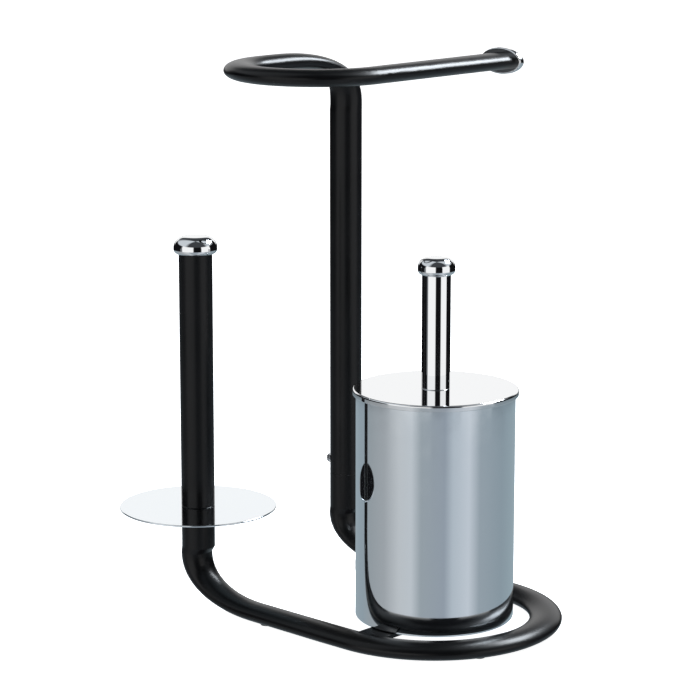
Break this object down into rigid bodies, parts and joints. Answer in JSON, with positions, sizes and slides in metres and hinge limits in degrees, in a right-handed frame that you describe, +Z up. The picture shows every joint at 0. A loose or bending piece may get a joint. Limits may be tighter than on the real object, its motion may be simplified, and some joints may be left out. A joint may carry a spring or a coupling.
{
  "type": "toilet paper holder",
  "caption": "Freestanding toilet paper holder: bent black tube frame with an open roll arm, a spare roll post on a tray disc, and a lidded steel brush container in its foot loop.",
  "frame": {"origin": "centre of the footprint of the whole stand, on the floor", "axes": "+Z up; the foot loop points to -Y, the posts stand at +Y, the roll arm's free end points to +X"},
  "size_m": [0.32, 0.353, 0.4637],
  "materials": {
    "tube_black": "semi-gloss powder coat",
    "chrome": "polished chrome plate",
    "mirror_steel": "mirror-polished stainless steel",
    "inner_steel": "zinc-plated steel",
    "fixings": "bright zinc-plated steel",
    "plug_plastic": "moulded nylon",
    "pad_rubber": "soft matt",
    "liner_plastic": "moulded, fine satin",
    "brush_plastic": "moulded",
    "bristle": "fine nylon strands"
  },
  "bodies": {
    "stand": {"base_tube": "tube_black", "upper_tube": "tube_black", "joint_spigot": "inner_steel", "joint_screw": "fixings", "container_strap": "tube_black", "spare_post_tube": "tube_black", "lower_plug": "plug_plastic", "upper_plug": "plug_plastic", "post_stud": "inner_steel", "roll_disc": "mirror_steel", "post_cap": "chrome", "arm_end_cap": "chrome", "foot_pads": "pad_rubber", "container_shell": "mirror_steel", "container_bolt": "fixings", "container_nut": "fixings"},
    "liner": {"liner": "liner_plastic"},
    "brush": {"lid": "chrome", "handle_tube": "chrome", "handle_knob": "chrome", "handle_insert": "plug_plastic", "brush_stem": "inner_steel", "lid_nut": "fixings", "brush_core": "brush_plastic", "bristles": "bristle"}
  },
  "joints": [
    {"name": "liner_lift", "type": "slide", "parent": "stand", "child": "liner", "axis": [0, 0, 1], "range_m": [0, 0.19]},
    {"name": "brush_lift", "type": "slide", "parent": "liner", "child": "brush", "axis": [0, 0, 1], "range_m": [0, 0.195]}
  ]
}
